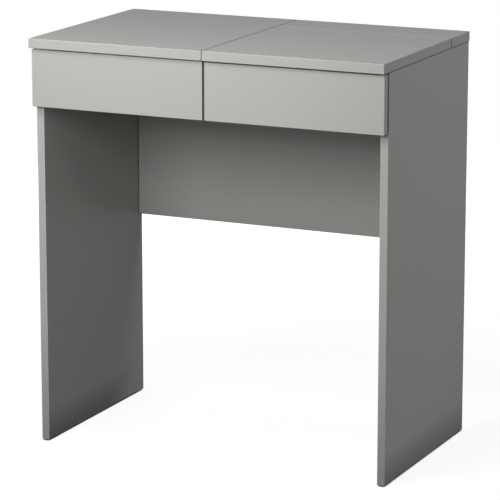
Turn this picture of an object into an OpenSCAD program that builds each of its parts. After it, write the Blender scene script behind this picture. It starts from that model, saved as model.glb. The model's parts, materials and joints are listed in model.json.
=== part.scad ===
// Flip top vanity table: a foil-faced board carcass on two side panels, a drawer on
// roller runners at the left, and a mirror lid over a storage well at the right.
// Origin: centre of the footprint on the floor. +X right, -Y front, +Z up. Millimetres.

/* [Table] */
// Width over the top
table_w = 700; // [660:5:900]
// Depth over the top
table_d = 420; // [410:5:520]
// Height from the floor to the top
table_h = 770; // [700:5:820]

/* [Boards] */
// Thickness of the top boards
top_t = 18; // [18:0.5:24]
// Thickness of the side panels
side_t = 15; // [15:0.5:19]
// Thickness of the drawer front and the well front
front_t = 16; // [15:0.5:20]
// Thickness of the back panel
back_t = 15; // [15:0.5:19]
// Thickness of the partition, floor and rails inside
inner_t = 15; // [15:0.5:18]
// Rounding of the board edges
edge_r = 1; // [0.4:0.1:2]
// Rounding of the back panel's edges
back_r = 1.8; // [0.4:0.1:2]

/* [Top] */
// How far the top stands out past the sides and the back
top_over = 1; // [0.5:0.5:6]
// Open seam between two boards of the top
seam_w = 1.5; // [1.5:0.1:2]
// Depth of the fixed strip behind the lid, to the middle of the seam
strip_d = 94; // [80:1:110]

/* [Fronts] */
// Height of the two fronts
front_h = 106; // [104:1:130]
// Gap between the fronts and the underside of the top
front_drop = 3; // [2:0.5:8]
// How far the fronts stand back from the front edge of the top
front_inset = 8; // [4:0.5:16]
// How far a front ends short of the end of the top
front_side = 2; // [1:0.5:4]
// Gap between the two fronts
front_split = 3.5; // [2:0.5:5]
// Gap between the fronts and the edges of the side panels
front_gap = 2; // [1:0.1:3]

/* [Carcass] */
// Height of the back panel's lower edge above the floor
back_low = 365; // [250:1:560]
// How far the well floor lies above the lower edge of the fronts
floor_up = 3; // [1:0.5:8]
// Width of the rail under the drawer
rail_w = 60; // [50:1:100]
// How far that rail stands back, which leaves a finger grip behind the drawer front
rail_set = 25; // [20:1:40]
// Height of the rail under the seam of the lid
hinge_rail_h = 50; // [45:1:60]
// How far the closed lid lies on that rail
lid_lap = 6; // [3:0.5:8]

/* [Glides] */
// Diameter of a nail-in glide
glide_d = 12; // [8:1:14]
// Thickness of a glide
glide_t = 2; // [1:0.5:5]
// Distance of a glide from the front or rear edge of the side panel
glide_in = 28; // [15:1:60]
// Length of a glide's nail
nail_l = 14; // [8:1:20]
// Diameter of a glide's nail
nail_d = 2; // [1.5:0.1:2.5]

/* [Mirror] */
// Distance between the mirror and the walls of the well
mirror_in = 14; // [12:1:40]
// Thickness of the mirror glass
mirror_t = 3; // [3:0.5:4]
// Thickness of the foam tape that holds the mirror
tape_t = 1; // [0.8:0.1:1.2]
// Width of a strip of tape
tape_w = 25; // [15:1:40]
// Width of a retaining clip along the edge of the glass
clip_w = 16; // [12:1:24]
// Distance of a clip from the corner of the glass
clip_in = 16; // [12:1:22]
// How far a clip reaches over the glass
clip_lap = 3; // [2:0.5:5]
// Thickness of a clip's lip
clip_t = 1.5; // [1:0.1:2]
// Depth of a clip's foot beside the glass
clip_foot = 8; // [8:0.5:9]

/* [Hinges] */
// Distance of a hinge from the end of the lid
hinge_in = 75; // [60:1:110]
// Length of a hinge's face plate
leaf_w = 52; // [48:1:60]
// Thickness of a hinge's face plate
plate_t = 2; // [1.5:0.1:2.5]
// Depth of the hinge pins below the top of the board
pin_down = 8.5; // [8.4:0.1:8.6]
// Distance of the hinge pins from the middle of the seam
pin_back = 5; // [4.8:0.1:5.2]
// Length of a link from its pin to its tip
link_l = 19; // [18.5:0.5:19.5]
// How far a link bows down between its pin and its tip
link_bow = 3; // [2.8:0.1:3.2]
// Thickness of a link's bar
link_t = 3.6; // [3:0.1:3.8]
// Width of each of the two rear-pinned links along the seam
link_a_w = 3; // [2.5:0.1:4]
// Width of the lid-pinned link along the seam
link_b_w = 6; // [4:0.1:8]
// Diameter of the hinge pins
hinge_pin_d = 3; // [2.5:0.1:3.2]

/* [Drawer] */
// Thickness of the drawer's sides and back
box_t = 15; // [15:0.5:16]
// Height of the drawer's sides
box_h = 72; // [60:1:74]
// How far the drawer's sides run past the rear ends of the runners
box_past = 5; // [2:1:10]
// Space between the closed drawer and the back panel
drawer_room = 31; // [10:0.5:80]
// Thickness of the drawer's hardboard bottom
bottom_t = 3; // [2.5:0.1:4]
// Depth of the grooves that hold the bottom
groove_d = 5; // [4:0.5:7]
// Height of the groove above the lower edge of the drawer's sides
groove_up = 9; // [8:0.5:14]
// Diameter of the soft pads behind the drawer front
pad_d = 5; // [4:0.5:6]
// Height of these pads above the lower edge of the drawer front
pad_up = 15; // [8:1:40]

/* [Runners] */
// Distance of the end screws from the ends of a runner
screw_in = 41; // [34:1:70]
// Space between the drawer and the wall beside it
runner_gap = 12.5; // [12.5:0.1:14]
// Thickness of the runners' sheet steel
steel_t = 1.2; // [1:0.1:1.4]
// Height of the cabinet runner
runner_h = 32; // [28:1:36]
// How far the runner lies above the rail under the drawer
runner_up = 2; // [1:0.5:5]
// How far the runners start behind the front edges of the side panels
runner_in = 2; // [1:0.5:6]
// Depth of the cabinet runner's lower flange
flange_w = 10.5; // [9.5:0.1:10.6]
// Depth of the cabinet runner's upper lip
lip_w = 4; // [2:0.5:6]
// Depth of the drawer runner's foot under the drawer side
foot_w = 13; // [10:0.5:14.5]
// Diameter of the rollers
roller_d = 17; // [15:0.5:18]
// Width of the rollers
roller_w = 5.5; // [4.5:0.1:5.6]
// Distance of a roller's axle from the end of its runner
roller_in = 14; // [11:0.5:20]
// Diameter of the roller axles
axle_d = 5; // [4:0.1:6]
// Thickness of an axle's rivet head
rivet_t = 1; // [0.6:0.1:1.2]

/* [Fittings] */
// Diameter of the wooden dowels
dowel_d = 8; // [6:0.5:8]
// Diameter of the slim dowels
slim_d = 5; // [4:0.5:5]
// Length of a dowel in the drilled face
dowel_in = 10; // [8:0.5:10]
// Length of a dowel in the drilled edge
dowel_out = 20; // [16:0.5:22]
// Diameter of a cam
cam_d = 15; // [12:0.5:15]
// Depth of a cam
cam_h = 12.5; // [11:0.1:12.5]
// Distance of a cam's centre from the joint
cam_reach = 34; // [30:0.5:34]
// Diameter of a cam bolt's thread
bolt_d = 5; // [4:0.1:6]
// Diameter of a cam bolt's head
head_d = 6.4; // [5.5:0.1:6.8]
// Distance of a dowel from the end of a long joint
joint_in = 40; // [36:1:60]
// Distance of a dowel from the end of a short joint
short_in = 14; // [12:1:16]
// Distance between a dowel and the cam bolt beside it
joint_gap = 32; // [28:1:40]
// Diameter of the runner and clip screws' shanks
screw_d = 3.5; // [3:0.1:4]
// Diameter of these screws' heads
screw_head_d = 7; // [6:0.1:7.4]
// Length of these screws under the head
screw_l = 12; // [10:0.5:13]

/* [Hidden] */
$fn = 48;

// Working clearances
fit = 0.1;        // around a fitting or a board in its hole or groove
run_fit = 0.05;   // around an axle or hinge pin in its bore
track_gap = 0.1;  // between a roller and its track
lane_gap = 0.2;   // beside a hinge link in its lane
end_gap = 0.5;    // at the blind end of a hole
pad_room = 0.3;   // between a pad behind the drawer front and the panel's edge
cut = 1;          // how far a cut runs past a face

// Planes across the width
end_x = table_w / 2;
wall_out = end_x - top_over;
wall_in = wall_out - side_t;
side_mid = wall_in + side_t / 2;
part_x = inner_t / 2;
front_out = end_x - front_side;
front_mid = front_split / 2;
seam = seam_w / 2;

// Planes across the depth
rear_y = table_d / 2;
front_y = -rear_y + front_inset;
front_back = front_y + front_t;
body_front = front_back + front_gap;
pad_t = front_gap - pad_room;
body_rear = rear_y - top_over;
back_y = body_rear - back_t;
back_mid = back_y + back_t / 2;
seam_y = rear_y - strip_d;
hinge_rail_y = seam_y - seam - lid_lap;
rail_y = body_front + rail_set;

// Planes up the height
top_z = table_h - top_t;
front_top = top_z - front_drop;
front_low = front_top - front_h;
floor_z = front_low + floor_up;
deck_z = floor_z + inner_t;
floor_mid = floor_z + inner_t / 2;
hinge_rail_z = top_z - hinge_rail_h;

// Drawer and runner places
runner_z = deck_z + runner_up;
runner_y = body_front + runner_in;
runner_end = back_y - drawer_room - box_past;
runner_l = runner_end - runner_y;
rear_roller_z = runner_z + steel_t + track_gap + roller_d / 2;
shelf_z = rear_roller_z + roller_d / 2 + 2;
front_roller_z = shelf_z - track_gap - roller_d / 2;
foot_z = runner_z + steel_t + 0.8;
box_z = foot_z + steel_t;
box_end = runner_end + box_past;
box_out = runner_gap + box_t;
box_x0 = -wall_in + runner_gap;
box_x1 = -part_x - runner_gap;
groove_z = box_z + groove_up;
front_roller_y = runner_y + roller_in;
rear_roller_y = runner_end - roller_in;
roller_u = steel_t + 0.8;
rear_roller_u = runner_gap - steel_t - 2.3 - roller_w;
shelf_in = steel_t + 2.2;
screw_rows = [screw_in, runner_l / 2, runner_l - screw_in];
screw_z = runner_z + runner_h - 6.8;

// Hinge places: a hinge's own origin is the middle of the seam at the top face
hinge_x = [seam + hinge_in, end_x - hinge_in];
wall_t = 1.3;      // wall of a leaf above and below its lanes
web_t = 1.5;       // web between two lanes
lane_over = 3.9;   // room in a lane above the pins, for the links' swing
lane_under = 0.7;  // room in a lane below the links at rest
lane_past = 1.2;   // room in a lane behind the links' tips
case_back = 1.8;   // wall behind the lanes
lane_top = -pin_down + lane_over;
lane_low = -pin_down - link_bow - link_t / 2 - lane_under;
leaf_top = lane_top + wall_t;
leaf_low = lane_low - wall_t;
tip_r = link_t / 2 + 0.2;
lane_deep = link_l - pin_back + tip_r + lane_past;
leaf_deep = lane_deep + case_back;
mid_lane = link_b_w / 2 + lane_gap;
out_lane = mid_lane + web_t;
lane_end = out_lane + link_a_w + 2 * lane_gap;
case_w = 2 * (lane_end + 2);
leaf_screw_x = (leaf_w + case_w) / 4;
leaf_mid = (leaf_low + leaf_top) / 2;
arc_r = (link_l * link_l / 4 + link_bow * link_bow) / (2 * link_bow);
arc_half = asin(link_l / 2 / arc_r);
eye_r = hinge_pin_d / 2 + 1.3;
leaf_screw_d = 3.2;
leaf_screw_head = 6;
leaf_screw_l = 16;

// Mirror places
mirror_z = top_z - tape_t - mirror_t;
mirror_x0 = part_x + mirror_in;
mirror_x1 = wall_in - mirror_in;
mirror_y0 = body_front + mirror_in;
mirror_y1 = hinge_rail_y - mirror_in;
clip_z = mirror_z - clip_t;
clip_screw_in = screw_l - (top_z - clip_z);

// Dowels, as [place on the joint, direction into the drilled edge, diameter]
function pair(a, b, inset) = [a + inset, b - inset];
function inner_pair(a, b, inset) = pair(a, b, inset + joint_gap);
clip_places = [for (x = pair(mirror_x0, mirror_x1, clip_in), s = [-1, 1])
    [x, s > 0 ? mirror_y1 : mirror_y0, s]];
side_dowels = [
    for (s = [-1, 1], z = pair(back_low, top_z, joint_in))
        [[s * wall_in, back_mid, z], [-s, 0, 0], dowel_d]];
left_dowels = [
    [[-wall_in, rail_y + short_in, floor_mid], [1, 0, 0], dowel_d],
    [[-part_x, rail_y + short_in, floor_mid], [-1, 0, 0], dowel_d]];
floor_in = 20;       // distance of the floor's and partition's end dowels from the end
strip_in = 24;       // distance of the strip's side dowel behind the seam
strip_cam_in = 32;   // distance of the strip's side cam bolt from the rear
rail_pin_half = 30;  // half the distance between the slim dowels above the hinge rail
part_cam_in = 36;    // distance of the partition's rear cam bolt below the top
box_fix_in = 12;     // distance of the drawer's fittings from its bottom and its rim
floor_rows = pair(body_front, back_y, floor_in);
right_dowels = [
    for (y = floor_rows) [[part_x, y, floor_mid], [1, 0, 0], dowel_d],
    for (y = floor_rows) [[wall_in, y, floor_mid], [-1, 0, 0], dowel_d],
    [[part_x, hinge_rail_y + inner_t / 2, hinge_rail_z + short_in], [1, 0, 0], dowel_d],
    [[wall_in, hinge_rail_y + inner_t / 2, hinge_rail_z + short_in], [-1, 0, 0], dowel_d]];
part_dowels = [[[0, back_y, floor_z + floor_in], [0, -1, 0], dowel_d]];
well_dowels = [for (x = pair(part_x, wall_in, joint_in))
    [[x, front_back, floor_mid], [0, 1, 0], dowel_d]];
down = [0, 0, -1];
quarter = inner_t / 4;
rail_pins = [for (s = [-1, 1]) (part_x + wall_in) / 2 + s * rail_pin_half];
top_left_dowels = [
    for (y = pair(body_front, body_rear, joint_in)) [[-side_mid, y, top_z], down, dowel_d],
    for (x = pair(-wall_in, -part_x, joint_in)) [[x, back_mid, top_z], down, dowel_d],
    for (y = pair(body_front, back_y, joint_in)) [[-quarter, y, top_z], down, slim_d]];
strip_dowels = [
    [[side_mid, seam_y + strip_in, top_z], down, dowel_d],
    for (x = pair(part_x, wall_in, joint_in)) [[x, back_mid, top_z], down, dowel_d],
    [[quarter, (seam_y + rear_y) / 2, top_z], down, slim_d],
    for (x = rail_pins) [[x, hinge_rail_y + inner_t - quarter, top_z], down, slim_d]];
drawer_fix_rows = [groove_z + bottom_t + box_fix_in, box_z + box_h - box_fix_in];
drawer_dowel_list = [
    for (x = pair(box_x0, box_x1, box_t / 2))
        [[x, front_back, drawer_fix_rows[1]], [0, 1, 0], dowel_d],
    [[box_x0 + box_t, box_end - box_t / 2, drawer_fix_rows[1]], [1, 0, 0], dowel_d],
    [[box_x1 - box_t, box_end - box_t / 2, drawer_fix_rows[1]], [-1, 0, 0], dowel_d]];
all_dowels = concat(side_dowels, left_dowels, right_dowels, part_dowels, well_dowels,
    top_left_dowels, strip_dowels);

// Cam bolts, as [place on the joint, direction into the drilled edge,
// direction from the bolt to the mouth of the cam's pocket, board thickness]
side_cams = [for (s = [-1, 1], z = inner_pair(back_low, top_z, joint_in))
    [[s * wall_in, back_mid, z], [-s, 0, 0], [0, 1, 0], back_t]];
left_cams = [
    [[-wall_in, rail_y + rail_w - short_in, floor_mid], [1, 0, 0], down, inner_t],
    [[-part_x, rail_y + rail_w - short_in, floor_mid], [-1, 0, 0], down, inner_t]];
cam_rows = inner_pair(body_front, back_y, floor_in);
right_cams = [
    for (y = cam_rows) [[part_x, y, floor_mid], [1, 0, 0], down, inner_t],
    for (y = cam_rows) [[wall_in, y, floor_mid], [-1, 0, 0], down, inner_t],
    [[part_x, hinge_rail_y + inner_t / 2, top_z - short_in], [1, 0, 0], [0, 1, 0], inner_t],
    [[wall_in, hinge_rail_y + inner_t / 2, top_z - short_in], [-1, 0, 0], [0, 1, 0], inner_t]];
part_cams = [[[0, back_y, top_z - part_cam_in], [0, -1, 0], [-1, 0, 0], inner_t]];
well_cams = [for (x = inner_pair(part_x, wall_in, joint_in))
    [[x, front_back, floor_mid], [0, 1, 0], down, inner_t]];
top_left_cams = [
    for (y = inner_pair(body_front, body_rear, joint_in)) [[-side_mid, y, top_z], down, [1, 0, 0], side_t],
    for (x = inner_pair(-wall_in, -part_x, joint_in)) [[x, back_mid, top_z], down, [0, 1, 0], back_t]];
strip_cams = [
    [[side_mid, body_rear - strip_cam_in, top_z], down, [-1, 0, 0], side_t],
    for (x = inner_pair(part_x, wall_in, joint_in)) [[x, back_mid, top_z], down, [0, 1, 0], back_t]];
drawer_cam_list = [
    [[box_x0 + box_t / 2, front_back, drawer_fix_rows[0]], [0, 1, 0], [1, 0, 0], box_t],
    [[box_x1 - box_t / 2, front_back, drawer_fix_rows[0]], [0, 1, 0], [-1, 0, 0], box_t],
    [[box_x0 + box_t, box_end - box_t / 2, drawer_fix_rows[0]], [1, 0, 0], [0, 1, 0], box_t],
    [[box_x1 - box_t, box_end - box_t / 2, drawer_fix_rows[0]], [-1, 0, 0], [0, 1, 0], box_t]];
all_cams = concat(side_cams, left_cams, right_cams, part_cams, well_cams, top_left_cams,
    strip_cams);

// Finishes
foil = [0.60, 0.60, 0.58];
foil_inside = [0.56, 0.56, 0.55];
coat = [0.86, 0.86, 0.85];
zinc = [0.74, 0.75, 0.77];
nylon = [0.90, 0.90, 0.88];
plastic = [0.22, 0.22, 0.22];
beech = [0.80, 0.66, 0.47];

// Outline of a rectangle with rounded corners
function eased(a0, a1, b0, b1, r, n = 3) = [
    for (c = [[a1 - r, b1 - r, 0], [a0 + r, b1 - r, 90], [a0 + r, b0 + r, 180], [a1 - r, b0 + r, 270]],
        i = [0:n]) [c[0] + r * cos(c[2] + 90 * i / n), c[1] + r * sin(c[2] + 90 * i / n)]];

// A board between two corners, with its edges and corners eased
module board(lo, hi, r = edge_r) {
    intersection() {
        translate([0, 0, lo.z]) linear_extrude(hi.z - lo.z)
            polygon(eased(lo.x, hi.x, lo.y, hi.y, r));
        translate([0, hi.y, 0]) rotate([90, 0, 0]) linear_extrude(hi.y - lo.y)
            polygon(eased(lo.x, hi.x, lo.z, hi.z, r));
        translate([lo.x, 0, 0]) rotate([90, 0, 90]) linear_extrude(hi.x - lo.x)
            polygon(eased(lo.y, hi.y, lo.z, hi.z, r));
    }
}

// A plain block between two corners
module block(lo, hi) {
    translate(lo) cube(hi - lo);
}

// Stands a child that points up +Z at p, pointing along d
module at(p, d) {
    translate(p) rotate([d.y * -90 + (d.z < 0 ? 180 : 0), d.x * 90, 0]) children();
}

module dowel_holes(list) {
    for (f = list)
        at(f[0], f[1]) translate([0, 0, -dowel_in - end_gap])
            cylinder(d = f[2] + 2 * fit, h = dowel_in + dowel_out + 2 * end_gap);
}

module dowel_set(list) {
    for (f = list)
        at(f[0], f[1]) translate([0, 0, -dowel_in]) cylinder(d = f[2], h = dowel_in + dowel_out);
}

module cam_holes(list) {
    for (f = list) {
        at(f[0], f[1]) {
            translate([0, 0, -dowel_in - end_gap])
                cylinder(d = bolt_d + 2 * fit, h = dowel_in + 2 * end_gap);
            cylinder(d = head_d + 1.2, h = cam_reach);
        }
        at(f[0] + cam_reach * f[1], f[2])
            translate([0, 0, f[3] / 2 - cam_h - fit]) cylinder(d = cam_d + 2 * fit, h = cam_h + fit + cut);
    }
}

// A cam bolt: thread, collar, shank, neck and head, from its tip in the drilled face
module cam_bolt() {
    neck = cam_reach - 3;
    rotate_extrude() polygon([[0, -dowel_in], [bolt_d / 2 - 1, -dowel_in], [bolt_d / 2, 1 - dowel_in],
        [bolt_d / 2, 0], [head_d / 2, 0], [head_d / 2, 1.5], [bolt_d / 2, 1.5], [bolt_d / 2, neck - 2],
        [bolt_d / 3, neck - 1], [bolt_d / 3, neck + 2], [head_d / 2, neck + 2.5],
        [head_d / 2, neck + 4], [head_d / 3, neck + 5], [0, neck + 5]]);
}

module bolt_set(list) {
    for (f = list) at(f[0], f[1]) cam_bolt();
}

// Cams, open towards their bolt, with a cross slot for the screwdriver
module cam_set(list) {
    for (f = list) {
        centre = f[0] + cam_reach * f[1];
        difference() {
            at(centre, f[2]) translate([0, 0, f[3] / 2 - cam_h]) cylinder(d = cam_d, h = cam_h - 0.2);
            at(centre + 4.5 * f[1], -f[1]) cylinder(d = head_d + 1.2, h = cam_d);
            for (a = [45, 135])
                at(centre, f[2]) rotate([0, 0, a]) translate([-4, -0.7, f[3] / 2 - 2]) cube([8, 1.4, 3]);
        }
    }
}

// A pan-head screw with its head's underside at the origin, pointing down -Z
module screw(d = screw_d, head = screw_head_d, l = screw_l) {
    difference() {
        rotate_extrude() polygon([[0, -l], [d / 2, -l + d], [d / 2, 0], [head / 2, 0],
            [head / 2, 0.8], [head / 3, 1.6], [0, 1.8]]);
        for (a = [0, 90]) rotate([0, 0, a]) translate([-1.6, -0.35, 1]) cube([3.2, 0.7, 1]);
    }
}

// A countersunk screw with its head's face at the origin, pointing down -Z
module flush_screw(d, head, l) {
    sink = (head - d) / 2;
    difference() {
        rotate_extrude() polygon([[0, -l], [d / 2, -l + d], [d / 2, -sink], [head / 2, 0], [0, 0]]);
        for (a = [0, 90]) rotate([0, 0, a]) translate([-1.6, -0.35, -0.9]) cube([3.2, 0.7, 1]);
    }
}

// A countersunk screw's hole
module flush_hole(d, head, l) {
    rotate_extrude() polygon([[0, -l - end_gap], [d / 2 + fit, -l - end_gap],
        [d / 2 + fit, -(head - d) / 2], [head / 2 + fit, 0], [head / 2 + fit, cut], [0, cut]]);
}

// A screw's hole, from the surface that its head sits on
module screw_hole(d, l) {
    translate([0, 0, -l - end_gap]) cylinder(d = d + 2 * fit, h = l + end_gap + cut);
}

// The two side panels, for side -1 left and 1 right
module side_panel(side) {
    x = side * side_mid;
    board([x - side_t / 2, body_front, glide_t], [x + side_t / 2, body_rear, top_z]);
}

module nail_holes(side) {
    for (y = pair(body_front, body_rear, glide_in))
        translate([side * side_mid, y, 0]) cylinder(d = nail_d + 2 * fit, h = glide_t + nail_l + end_gap);
}

module side_left() {
    color(foil) difference() {
        side_panel(-1);
        dowel_holes(concat(side_dowels, left_dowels, top_left_dowels));
        cam_holes(concat(side_cams, left_cams, top_left_cams));
        nail_holes(-1);
        on_wall(-1) wall_screw_holes();
    }
}

module side_right() {
    color(foil) difference() {
        side_panel(1);
        dowel_holes(concat(side_dowels, right_dowels, strip_dowels));
        cam_holes(concat(side_cams, right_cams, strip_cams));
        nail_holes(1);
    }
}

module glides() {
    color(plastic) for (side = [-1, 1], y = pair(body_front, body_rear, glide_in))
        translate([side * side_mid, y, 0]) rotate_extrude()
            polygon([[0, 0], [glide_d / 2 - 0.8, 0], [glide_d / 2, 0.8], [glide_d / 2, glide_t],
                [nail_d / 2, glide_t], [nail_d / 2, glide_t + nail_l - nail_d], [0, glide_t + nail_l]]);
}

module top_left() {
    color(foil) difference() {
        board([-end_x, -rear_y, top_z], [-seam, rear_y, table_h]);
        dowel_holes(top_left_dowels);
        cam_holes(top_left_cams);
    }
}

module top_strip() {
    color(foil) difference() {
        board([seam, seam_y + seam, top_z], [end_x, rear_y, table_h]);
        dowel_holes(strip_dowels);
        cam_holes(strip_cams);
        at_hinges() leaf_mortise();
    }
}

module lid() {
    color(foil) difference() {
        board([seam, -rear_y, top_z], [end_x, seam_y - seam, table_h]);
        at_hinges() mirror([0, 1, 0]) leaf_mortise();
        for (p = clip_places)
            translate([p[0], p[1] + p[2] * clip_foot / 2, top_z])
                rotate([180, 0, 0]) screw_hole(screw_d, clip_screw_in);
    }
}

module back_panel() {
    color(foil) difference() {
        board([-wall_in, back_y, back_low], [wall_in, body_rear, top_z], back_r);
        dowel_holes(concat(side_dowels, part_dowels, top_left_dowels, strip_dowels));
        cam_holes(concat(side_cams, part_cams, top_left_cams, strip_cams));
    }
}

module partition() {
    color(foil_inside) difference() {
        board([-part_x, body_front, floor_z], [part_x, back_y, top_z]);
        dowel_holes(concat(left_dowels, right_dowels, part_dowels, top_left_dowels, strip_dowels));
        cam_holes(concat(left_cams, right_cams, part_cams));
        on_wall(1) wall_screw_holes();
    }
}

module well_floor() {
    color(foil_inside) difference() {
        board([part_x, front_back, floor_z], [wall_in, back_y, deck_z]);
        dowel_holes(concat(right_dowels, well_dowels));
        cam_holes(concat(right_cams, well_cams));
    }
}

module drawer_rail() {
    color(foil_inside) difference() {
        board([-wall_in, rail_y, floor_z], [-part_x, rail_y + rail_w, deck_z]);
        dowel_holes(left_dowels);
        cam_holes(left_cams);
    }
}

module hinge_rail() {
    color(foil_inside) difference() {
        board([part_x, hinge_rail_y, hinge_rail_z], [wall_in, hinge_rail_y + inner_t, top_z]);
        dowel_holes(concat(right_dowels, strip_dowels));
        cam_holes(right_cams);
    }
}

module well_front() {
    color(foil) difference() {
        board([front_mid, front_y, front_low], [front_out, front_back, front_top]);
        dowel_holes(well_dowels);
        cam_holes(well_cams);
    }
}

module dowels() {
    color(beech) dowel_set(all_dowels);
}

module cam_bolts() {
    color(zinc) bolt_set(all_cams);
}

module cams() {
    color(zinc) cam_set(all_cams);
}

// Mirror

module mirror_glass() {
    color([0.80, 0.86, 0.88]) board([mirror_x0, mirror_y0, mirror_z],
        [mirror_x1, mirror_y1, mirror_z + mirror_t], 0.5);
}

module mirror_tape() {
    inset = 20;
    color([0.25, 0.25, 0.26]) for (y = [mirror_y0 + inset, (mirror_y0 + mirror_y1 - tape_w) / 2,
            mirror_y1 - inset - tape_w])
        block([mirror_x0 + inset, y, mirror_z + mirror_t], [mirror_x1 - inset, y + tape_w, top_z]);
}

module mirror_clips() {
    color(nylon) for (p = clip_places) translate([p[0], p[1], 0]) facing(p[2]) difference() {
        union() {
            board([-clip_w / 2, 0, clip_z], [clip_w / 2, clip_foot, top_z], 0.4);
            board([-clip_w / 2, -clip_lap, clip_z], [clip_w / 2, 1, mirror_z], 0.4);
        }
        translate([0, clip_foot / 2, clip_z]) rotate([180, 0, 0]) screw_hole(screw_d, screw_l);
    }
}

module clip_screws() {
    color(zinc) for (p = clip_places) translate([p[0], p[1] + p[2] * clip_foot / 2, clip_z])
        rotate([180, 0, 0]) screw();
}

// Mirrors a child so that its +Y points to the side s, 1 rear or -1 front
module facing(s) {
    mirror([0, s < 0 ? 1 : 0, 0]) children();
}

// Hinges

module at_hinges() {
    for (x = hinge_x) translate([x, seam_y, table_h]) children();
}

// Places a countersunk leaf screw's axis: its head faces the seam
module at_leaf_screws() {
    for (s = [-1, 1]) translate([s * leaf_screw_x, seam, leaf_mid]) rotate([90, 0, 0]) children();
}

// The room for one leaf in the rear board's edge
module leaf_mortise() {
    block([-leaf_w / 2 - fit, 0, leaf_low - fit], [leaf_w / 2 + fit, seam + plate_t + fit, leaf_top + fit]);
    block([-case_w / 2 - fit, 0, leaf_low - fit], [case_w / 2 + fit, leaf_deep + fit, leaf_top + fit]);
    at_leaf_screws() screw_hole(leaf_screw_d, leaf_screw_l);
}

// A leaf: a face plate, a case with three lanes for the links, and two screw holes
module leaf() {
    difference() {
        union() {
            block([-leaf_w / 2, seam, leaf_low], [leaf_w / 2, seam + plate_t, leaf_top]);
            block([-case_w / 2, seam, leaf_low], [case_w / 2, leaf_deep, leaf_top]);
        }
        for (x = [[-lane_end, -out_lane], [-mid_lane, mid_lane], [out_lane, lane_end]])
            block([x[0], -cut, lane_low], [x[1], lane_deep, lane_top]);
        at_leaf_screws() flush_hole(leaf_screw_d, leaf_screw_head, leaf_screw_l);
    }
}

// A hinge pin along X between two places
module hinge_pin(x0, x1) {
    translate([x0, pin_back, -pin_down]) rotate([0, 90, 0]) cylinder(d = hinge_pin_d, h = x1 - x0);
}

// One bowed link with its pin at the origin and its tip towards -Y
module link(w) {
    centre = [-link_l / 2, arc_r - link_bow];
    steps = 10;
    arc = [for (i = [0:steps]) 270 - arc_half + 2 * arc_half * i / steps];
    bar = [for (a = arc) centre + (arc_r + link_t / 2) * [cos(a), sin(a)],
        for (i = [steps:-1:0]) centre + (arc_r - link_t / 2) * [cos(arc[i]), sin(arc[i])]];
    translate([-w / 2, 0, 0]) rotate([90, 0, 90]) linear_extrude(w) difference() {
        union() {
            polygon(bar);
            circle(r = eye_r);
            translate([-link_l, 0]) circle(r = tip_r);
        }
        circle(d = hinge_pin_d + 2 * run_fit);
    }
}

module hinge_leaves_rear() {
    color(zinc) at_hinges() {
        leaf();
        hinge_pin(mid_lane + 0.3, lane_end + 1);
        hinge_pin(-lane_end - 1, -mid_lane - 0.3);
    }
}

module hinge_leaves_lid() {
    color(zinc) at_hinges() mirror([0, 1, 0]) {
        leaf();
        hinge_pin(-mid_lane - 1, mid_lane + 1);
    }
}

module hinge_screws_rear() {
    color(zinc) at_hinges() at_leaf_screws() flush_screw(leaf_screw_d, leaf_screw_head, leaf_screw_l);
}

module hinge_screws_lid() {
    color(zinc) at_hinges() mirror([0, 1, 0]) at_leaf_screws()
        flush_screw(leaf_screw_d, leaf_screw_head, leaf_screw_l);
}

module hinge_links_rear() {
    color(zinc) at_hinges() for (s = [-1, 1])
        translate([s * (out_lane + lane_end) / 2, pin_back, -pin_down]) link(link_a_w);
}

module hinge_links_lid() {
    color(zinc) at_hinges() translate([0, -pin_back, -pin_down]) mirror([0, 1, 0]) link(link_b_w);
}

// Runners: u runs from the wall towards the drawer

// Puts a child on the left side panel (-1) or on the partition (1), with +X as u
module on_wall(side) {
    translate([side < 0 ? -wall_in : -part_x, 0, 0]) mirror([side < 0 ? 0 : 1, 0, 0]) children();
}

// A profile in u and height, drawn along the runner
module along_runner(points) {
    translate([0, runner_end, 0]) rotate([90, 0, 0]) linear_extrude(runner_l) polygon(points);
}

module at_wall_screws() {
    for (y = screw_rows) translate([steel_t, runner_y + y, screw_z]) rotate([0, 90, 0]) children();
}

module at_foot_screws() {
    for (y = screw_rows)
        translate([runner_gap + foot_w / 2, runner_y + y, foot_z]) rotate([180, 0, 0]) children();
}

module wall_screw_holes() {
    at_wall_screws() screw_hole(screw_d, screw_l);
}

module foot_screw_holes() {
    at_foot_screws() screw_hole(screw_d, screw_l);
}

// A rivet from a web at u0 to a head past the roller that starts at u1
module rivet(u0, u1) {
    collar_d = axle_d + 3;
    head_u = u1 + roller_w + track_gap;
    rotate([0, 90, 0]) {
        translate([0, 0, u0]) cylinder(d = collar_d, h = u1 - track_gap - u0);
        translate([0, 0, u0]) cylinder(d = axle_d, h = head_u + rivet_t - u0);
        translate([0, 0, head_u]) cylinder(d = collar_d, h = rivet_t);
    }
}

module cabinet_runner() {
    z0 = runner_z;
    z1 = runner_z + runner_h;
    color(coat) difference() {
        union() {
            along_runner([[0, z0], [flange_w, z0], [flange_w, z0 + steel_t], [steel_t, z0 + steel_t],
                [steel_t, z1 - steel_t], [lip_w, z1 - steel_t], [lip_w, z1], [0, z1]]);
            translate([0, front_roller_y, front_roller_z]) rivet(steel_t / 2, roller_u);
        }
        wall_screw_holes();
    }
}

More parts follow.
